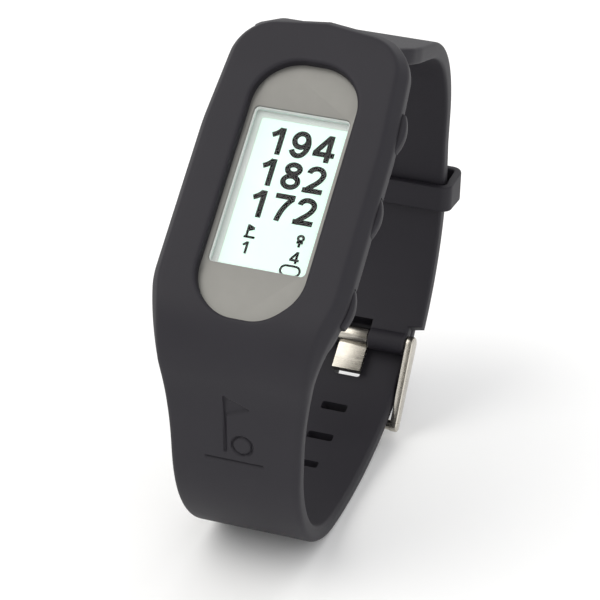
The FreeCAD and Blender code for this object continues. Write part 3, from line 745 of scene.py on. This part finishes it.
@dataclass
class Readout:
    """Dark figures on the liquid crystal panel, thin plates just over its front."""

    level: float = -3.02
    thick: float = 0.02
    width: float = 13.8
    height: float = 23.6
    centre_y: float = 0.5
    bold: float = 0.094
    stretch: float = 1.06
    # Width of the pale edge, and its shift towards 9 and 12 o'clock: painted shade of the window's recess.
    border: float = 0.62
    shade_side_shift: float = 0.42

    def place(self, u: float, v: float) -> tuple[float, float]:
        """Watch (x, y) of a place across and down the display, both 0 to 1."""
        return (u - 0.5) * self.width, self.centre_y + (0.5 - v) * self.height

    def ribbon(self, work: Patchwork, path: Array, half: float) -> None:
        """Add a flat bar along a path: both sides offset along the path's normal, ends closed.

        Args:
            work: mesh to add to.
            path: points (n, 2) in watch millimetres; a loop when its ends meet.
            half: half the bar's width.
        """
        loop = np.allclose(path[0], path[-1])
        along = np.gradient(path, axis=0)
        if loop:
            along[[0, -1]] = path[1] - path[-2]
        normal = np.stack([-along[:, 1], along[:, 0]], -1)
        normal *= half / np.linalg.norm(normal, axis=1, keepdims=True)
        section = [np.insert(path + side * normal, 2, self.level + top * self.thick / 2, axis=1)
                   for side, top in ((1, 1), (-1, 1), (-1, -1), (1, -1))]
        index = work.grid(np.stack(section, 1), wrap=True)
        if not loop:
            for row, place in ((index[0], path[0]), (index[-1], path[-1])):
                work.fan(row, np.array([*place, self.level]))

    def figure(self, work: Patchwork, strokes: Sequence[Array], x: float, y: float, size: float) -> None:
        """Add one figure: its strokes scaled to a height of size mm, from a lower left corner.

        Args:
            work: mesh to add to.
            strokes: middle lines of its strokes, one unit tall.
            x: watch X of the corner.
            y: watch Y of the corner.
            size: its height in mm.
        """
        for path in strokes:
            self.ribbon(work, np.array([x, y]) + path * [size * self.stretch, size], self.bold * size)

    def number(self, work: Patchwork, body: str, u: float, v: float, size: float) -> None:
        """Add a number whose right end stands at a place of the display.

        Args:
            work: mesh to add to.
            body: its digits.
            u: place across of its right end.
            v: place down of its base line.
            size: height of the digits in mm.
        """
        x, y = self.place(u, v)
        step = FIGURE_STEP * size * self.stretch
        for i, digit in enumerate(body):
            self.figure(work, FIGURES[digit], x + (i - len(body)) * step, y, size)

    def build(self) -> bpy.types.Object:
        """Build all figures as one piece."""
        work = Patchwork()
        for body, v in zip(("194", "182", "172"), (0.261, 0.4625, 0.666)):
            self.number(work, body, 0.915, v, 4.07)
        for body, u, v in (("1", 0.355, 0.897), ("4", 0.87, 0.906)):
            self.number(work, body, u, v, 1.77)
        for name, u, v in (("flag", 0.25, 0.795), ("tee", 0.765, 0.803)):
            self.figure(work, FIGURES[name], *self.place(u, v), 1.85)
        x, y = self.place(0.808, 0.9525)
        ring = closed_ring(1.36, 0.72, 0.72, y, 60) + [x, 0]
        self.ribbon(work, np.concatenate([ring, ring[:1]]), 0.15)
        figures = work.build("readout_figures")
        figures.data.shade_flat()
        return figures

    def margin(self) -> bpy.types.Object:
        """Build the pale grey edge over the panel and a pale lining of the opening. The edge is painted
        shade: it stands in for the window's recess wall and the shadow that wall casts, so it is wider at 9
        and 12 o'clock where that shade falls. The lining glows as painted light on the opening's shaded wall.
        """
        work = Patchwork()
        half_x, half_y = self.width / 2, self.height / 2
        rings = []
        # Pale grey ring, wide at 9 and 12 o'clock and narrow at 3 and 6: painted shade of the recess wall and
        # its shadow.
        for inner, z in ((0, -1), (0, 1), (1, 1), (1, -1), (0, -1)):
            ring = closed_ring(half_x - self.border * inner, half_y - self.border * inner, 0.3,
                               self.centre_y - self.shade_side_shift * inner, 80)
            level = np.full(80, self.level - 0.004 + z * self.thick / 4)
            rings.append(np.stack([ring[:, 0] + self.shade_side_shift * inner, ring[:, 1], level], -1))
        work.grid(np.array(rings), wrap=True)
        # Pale lining of the opening's wall in the same glowing finish: painted light on a wall in shade.
        glowing_lining = ((0.02, -1.75), (0.02, -2.37), (0.1, -2.37), (0.1, -1.75), (0.02, -1.75))
        rings = [np.insert(closed_ring(half_x - e, half_y - e, 0.7 - e, self.centre_y, 80), 2, z, axis=1)
                 for e, z in glowing_lining]
        work.grid(np.array(rings), wrap=True)
        margin = work.build("painted_shade_panel_edge")
        margin.data.shade_flat()
        return margin


# ---- finishes ----

def linear(code: str) -> tuple[float, float, float, float]:
    """Turn an sRGB hex colour into linear RGBA."""
    values = [int(code[i:i + 2], 16) / 255 for i in (1, 3, 5)]
    return tuple(v / 12.92 if v <= 0.04045 else ((v + 0.055) / 1.055) ** 2.4 for v in values) + (1.0,)


def add(tree: bpy.types.NodeTree, kind: str, settings: Optional[dict] = None,
        **links: object) -> bpy.types.Node:
    """Add a node.

    Args:
        tree: the node tree.
        kind: node type, without its ShaderNode prefix.
        settings: property values, and socket values under "input NAME or number".
        links: sockets to link, by input name with _ for a space, or n and the input's number.

    Returns:
        The node.
    """
    node = tree.nodes.new("ShaderNode" + kind)
    for key, value in (settings or {}).items():
        if key.startswith("input "):
            name = key[6:]
            node.inputs[int(name) if name.isdigit() else name].default_value = value
        else:
            setattr(node, key, value)
    for key, socket in links.items():
        name = key.replace("_", " ").strip()
        numbered = name[0] == "n" and name[1:].isdigit()
        tree.links.new(socket, node.inputs[int(name[1:]) if numbered else name])
    return node


class Relief(Enum):
    """What breaks up a surface in its bump."""

    NONE = "none"
    GRAIN = "grain"
    BRUSHED = "brushed"


@dataclass(frozen=True)
class Finish:
    """One finish: its colour, how it varies, its gloss and its fine relief."""

    name: str
    colour: str
    second: str
    roughness: float
    metallic: float = 0.0
    ior: Optional[float] = None
    patch_mm: float = 6.0
    mix_low: float = 0.35
    mix_high: float = 0.65
    rough_swing: float = 0.06
    relief: Relief = Relief.GRAIN
    relief_mm: float = 0.2
    relief_depth_mm: float = 0.01
    relief_strength: float = 0.3
    stretch: tuple[float, float, float] = (1.0, 1.0, 1.0)
    coat: float = 0.0
    sheen: float = 0.0
    transmission: float = 0.0
    emission: float = 0.0

    def build(self) -> bpy.types.Material:
        """Make the material: two shades mixed by patches, with grain or brush marks in the bump."""
        material = bpy.data.materials.new(self.name)
        material.use_nodes = True
        tree = material.node_tree
        shader = tree.nodes["Principled BSDF"]
        place = add(tree, "TexCoord").outputs["Object"]
        shader.inputs["Metallic"].default_value = self.metallic
        shader.inputs["Coat Weight"].default_value = self.coat
        shader.inputs["Sheen Weight"].default_value = self.sheen
        shader.inputs["Transmission Weight"].default_value = self.transmission
        if self.ior is not None:
            shader.inputs["IOR"].default_value = self.ior
        patches = add(tree, "TexNoise", {"input Scale": 1 / (self.patch_mm * MM), "input Detail": 3.0},
                      Vector=place)
        amount = add(tree, "MapRange", {"input From Min": self.mix_low,
                                        "input From Max": self.mix_high}, Value=patches.outputs[0])
        colour = add(tree, "Mix", {"data_type": "RGBA", "input 6": linear(self.colour),
                                   "input 7": linear(self.second)}, n0=amount.outputs[0])
        tree.links.new(colour.outputs[2], shader.inputs["Base Color"])
        # Emission makes a piece glow though it is no lamp: painted light on the panel and its pale edge.
        if self.emission:
            tree.links.new(colour.outputs[2], shader.inputs["Emission Color"])
            shader.inputs["Emission Strength"].default_value = self.emission
        if self.relief is Relief.NONE:
            shader.inputs["Roughness"].default_value = self.roughness
            return material
        stretched = add(tree, "Mapping", {"input Scale": self.stretch}, Vector=place)
        fine = add(tree, "TexNoise", {"input Scale": 1 / (self.relief_mm * MM), "input Detail": 2.0},
                   Vector=stretched.outputs[0])
        rough = add(tree, "MapRange", {"input To Min": self.roughness - self.rough_swing,
                                       "input To Max": self.roughness + self.rough_swing},
                    Value=fine.outputs[0])
        tree.links.new(rough.outputs[0], shader.inputs["Roughness"])
        bump = add(tree, "Bump", {"input Strength": self.relief_strength,
                                  "input Distance": self.relief_depth_mm * MM}, Height=fine.outputs[0])
        tree.links.new(bump.outputs[0], shader.inputs["Normal"])
        return material


# Silicone rubber from a bead-blasted mould: charcoal, matt, with a fine even grain and a soft sheen.
SILICONE = Finish("silicone_charcoal_matt", "#222026", "#201E24", 0.6, ior=1.38, patch_mm=9.0,
                  relief_mm=0.16, relief_depth_mm=0.02, relief_strength=0.3)
# Polycarbonate painted silver-grey: satin, with fine metallic flake.
SILVER_PAINT = Finish("painted_polycarbonate_silver", "#7A7975", "#7C7B77", 0.4, metallic=0.4,
                      patch_mm=2.0, relief_mm=0.12, relief_depth_mm=0.002, relief_strength=0.15)
# Satin stainless steel, brushed across the strap, a warm grey metal with bright edges.
STEEL = Finish("stainless_steel_satin", "#CFCAC0", "#BDB8AE", 0.26, metallic=1.0, patch_mm=3.0,
               relief=Relief.BRUSHED, relief_mm=0.5, relief_depth_mm=0.004, relief_strength=0.35,
               stretch=(0.04, 1.0, 1.0), rough_swing=0.08)
# Reflective liquid crystal: a pale mint field behind a polariser film, smooth and satin. Its emission is
# painted light: the panel glows though it is no lamp, standing in for the lamplight that reaches it through
# the window.
LCD = Finish("liquid_crystal_mint_glowing", "#E6FAF1", "#E2F8EE", 0.5, patch_mm=14.0, relief=Relief.NONE,
             emission=0.3)
# Painted shade: a paler grey edge over the panel, where the window's recess wall and its shadow fall. Its
# emission is painted light, and the same finish lines the opening's wall.
PAINTED_SHADE_EDGE = Finish("glowing_painted_shade_finish", "#C6CBC8", "#C9CDCA", 0.5, patch_mm=14.0,
                relief=Relief.NONE, emission=0.3)
# Switched segments: near-black liquid crystal.
INK = Finish("liquid_crystal_dark", "#1C1B1C", "#1A191A", 0.9, ior=1.05, patch_mm=4.0,
             relief=Relief.NONE)
# Clear acrylic window with a hard anti-reflection coat, which brings its index down.
ACRYLIC = Finish("acrylic_clear", "#FFFFFF", "#FBFFFD", 0.03, ior=1.2, relief=Relief.NONE,
                 transmission=1.0)
# Injection-moulded ABS, fine spark-eroded texture.
ABS_GREY = Finish("moulded_abs_grey", "#77777A", "#6F6F72", 0.5, relief_mm=0.15)
ABS_WHITE = Finish("moulded_acrylic_white", "#EDEDE8", "#E6E6E0", 0.35, relief_mm=0.3)
# Fibreglass board under green solder mask.
BOARD = Finish("circuit_board_green", "#12502C", "#0F4526", 0.35, patch_mm=1.5, relief_mm=0.35)
# Epoxy moulding compound of the chips, dull black with a fine grain.
EPOXY = Finish("epoxy_black", "#1B1B1D", "#222224", 0.6, relief_mm=0.1)
# Fired ceramic of the antenna, off-white and dense.
CERAMIC = Finish("ceramic_cream", "#D9CFB8", "#D0C5AC", 0.45, relief_mm=0.2)
# Tinned steel can, soft bright metal.
TIN = Finish("tinned_steel", "#C9C9C6", "#BDBDBA", 0.3, metallic=1.0, relief_mm=0.3)
# Aluminium laminate pouch of the cell, slightly creased.
FOIL = Finish("laminate_foil", "#B9BCC0", "#AEB1B5", 0.32, metallic=0.9, relief_mm=1.2,
              relief_depth_mm=0.03)
# Hard gold plating on the contacts.
GOLD = Finish("gold_plate", "#E3B866", "#DDB05A", 0.2, metallic=1.0, relief_mm=0.2)
# Polyimide ribbon, amber and glossy.
POLYIMIDE = Finish("polyimide_amber", "#B06A1E", "#A8641A", 0.3, relief_mm=0.4)
# Nickel strip and plated screws.
NICKEL = Finish("nickel_plate", "#C4C0B8", "#B7B3AB", 0.25, metallic=1.0, relief_mm=0.25)
# Black nitrile gasket and the foam pad.
NITRILE = Finish("nitrile_black", "#1A1A1A", "#202020", 0.6, relief_mm=0.2)
FOAM = Finish("foam_grey", "#3A3A3A", "#2E2E2E", 0.9, relief_mm=0.3, relief_depth_mm=0.05)

# Seamless studio paper.
PAPER = Finish("paper_white", "#FFFFFF", "#FBFBFB", 0.6, patch_mm=300.0, relief=Relief.NONE)

SLOT_FINISHES = {"silicone": SILICONE, "steel": STEEL, "module_plastic": SILVER_PAINT,
                 "key_plastic": ABS_GREY, "lens": ACRYLIC, "lcd": LCD, "diffuser": ABS_WHITE,
                 "gasket": NITRILE, "screw_steel": NICKEL, "board": BOARD, "chip": EPOXY,
                 "ceramic": CERAMIC, "can": TIN, "cell": FOIL, "gold": GOLD, "flex": POLYIMIDE,
                 "nickel": NICKEL, "foam": FOAM, "switch_metal": TIN}


def dress(obj: bpy.types.Object, material: bpy.types.Material) -> None:
    """Give every face of a piece one material."""
    obj.data.materials.clear()
    obj.data.materials.append(material)


def softened(node: str, name: str, width_mm: float, angle: float = 40.0) -> bpy.types.Object:
    """Hard CAD piece with its edges rolled over.

    Args:
        node: CAD node to copy and replace.
        name: name of the new piece.
        width_mm: width of the rolled edge.
        angle: only edges sharper than this, in degrees.
    """
    bm = bmesh.new()
    bm.from_mesh(frame["nodes"][node].data)
    bmesh.ops.remove_doubles(bm, verts=bm.verts, dist=1e-6)
    bmesh.ops.dissolve_limit(bm, angle_limit=math.radians(1), verts=bm.verts, edges=bm.edges)
    mesh = bpy.data.meshes.new(name)
    bm.to_mesh(mesh)
    bm.free()
    obj = bpy.data.objects.new(name, mesh)
    bpy.context.scene.collection.objects.link(obj)
    mesh.shade_smooth()
    bevel = obj.modifiers.new("rolled edge", "BEVEL")
    bevel.width, bevel.segments = width_mm * MM, 3
    bevel.limit_method, bevel.angle_limit = "ANGLE", math.radians(angle)
    bevel.harden_normals = True
    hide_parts(node)
    return obj


# ---- studio ----

@dataclass
class Studio:
    """Floor, lights and camera."""

    position_mm: tuple[float, float, float] = (115.559, -344.192, 233.681)
    aim_mm: tuple[float, float, float] = (5.3407, -23.3488, 41.778)
    roll: float = 1.045
    lens: float = 174.0

    def camera(self) -> None:
        """Camera at its place, turned to the aim and rolled about its axis."""
        data = bpy.data.cameras.new("camera")
        data.lens, data.sensor_width = self.lens, 36.0
        data.clip_start, data.clip_end = 0.01, 20.0
        obj = bpy.data.objects.new("camera", data)
        bpy.context.scene.collection.objects.link(obj)
        obj.location = Vector(self.position_mm) * MM
        way = (Vector(self.aim_mm) - Vector(self.position_mm)).to_track_quat("-Z", "Y").to_matrix()
        turn = way @ Matrix.Rotation(math.radians(self.roll), 3, "Z")
        obj.rotation_euler = turn.to_euler()
        bpy.context.scene.camera = obj

    def light(self, name: str, place: tuple[float, float, float], size: float, power: float,
              colour: str) -> None:
        """Soft square light aimed at the watch.

        Args:
            name: name of the light.
            place: where it hangs, in metres.
            size: its side, in metres.
            power: in watts.
            colour: sRGB hex.
        """
        data = bpy.data.lights.new(name, "AREA")
        data.size, data.energy, data.color = size, power, linear(colour)[:3]
        obj = bpy.data.objects.new(name, data)
        bpy.context.scene.collection.objects.link(obj)
        obj.location = place
        obj.rotation_euler = (Vector((0, 0, 0.035)) - Vector(place)).to_track_quat("-Z", "Y").to_euler()

    def build(self) -> None:
        """Pale floor, three soft lights, a bright surround and the camera."""
        bpy.ops.mesh.primitive_plane_add(size=6.0)
        floor = bpy.context.active_object
        floor.name = "floor"
        dress(floor, PAPER.build())
        world = bpy.data.worlds.new("surround")
        world.use_nodes = True
        world.node_tree.nodes["Background"].inputs["Color"].default_value = linear("#FFFFFF")
        world.node_tree.nodes["Background"].inputs["Strength"].default_value = 0.85
        bpy.context.scene.world = world
        self.light("key", (-0.35, -0.25, 0.6), 0.6, 2.2, "#FFFDF8")
        self.light("fill", (0.55, -0.35, 0.35), 0.5, 0.6, "#FBFDFF")
        self.light("rim", (0.1, 0.6, 0.4), 0.4, 0.7, "#FFFFFF")
        self.camera()
        bpy.context.scene.view_settings.view_transform = "Standard"


def main() -> None:
    """Build every piece, dress it, and set the studio."""
    every = [*dict.fromkeys(SLOT_FINISHES.values()), INK, PAINTED_SHADE_EDGE]
    finishes = {finish.name: finish.build() for finish in every}
    slots = {row["node"]: row["material_slot"] for row in frame["record"]["subparts"]}
    for name, node in frame["nodes"].items():
        dress(node, finishes[SLOT_FINISHES[slots[name]].name])
        node.data.shade_smooth()
        node.data.set_sharp_from_angle(angle=math.radians(30))
    pieces = [(piece, "band", "silicone") for piece in Wristband().build()]
    pieces.append((Keeper().build(), "keeper", "silicone"))
    for name, y in BUTTONS.items():
        pieces.append((ButtonPad(name, y).build(), "button_" + name, "silicone"))
    pieces += [(softened("buckle_frame", "buckle_bow", 0.3), "buckle", "steel"),
               (softened("buckle_tongue", "buckle_pin", 0.12), "tongue", "steel"),
               (softened("front_cover", "module_face", 0.12), "band", "module_plastic"),
               (softened("rear_cover", "module_back", 0.1), "band", "module_plastic")]
    for piece, body, slot in pieces:
        dress(piece, finishes[SLOT_FINISHES[slot].name])
        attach(piece, body)
        log.info("%s rides on %s", piece.name, body)
    readout = Readout()
    for piece, finish in ((readout.build(), INK), (readout.margin(), PAINTED_SHADE_EDGE)):
        dress(piece, finishes[finish.name])
        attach(piece, "band")
    Studio().build()


if __name__ == "__main__":
    main()
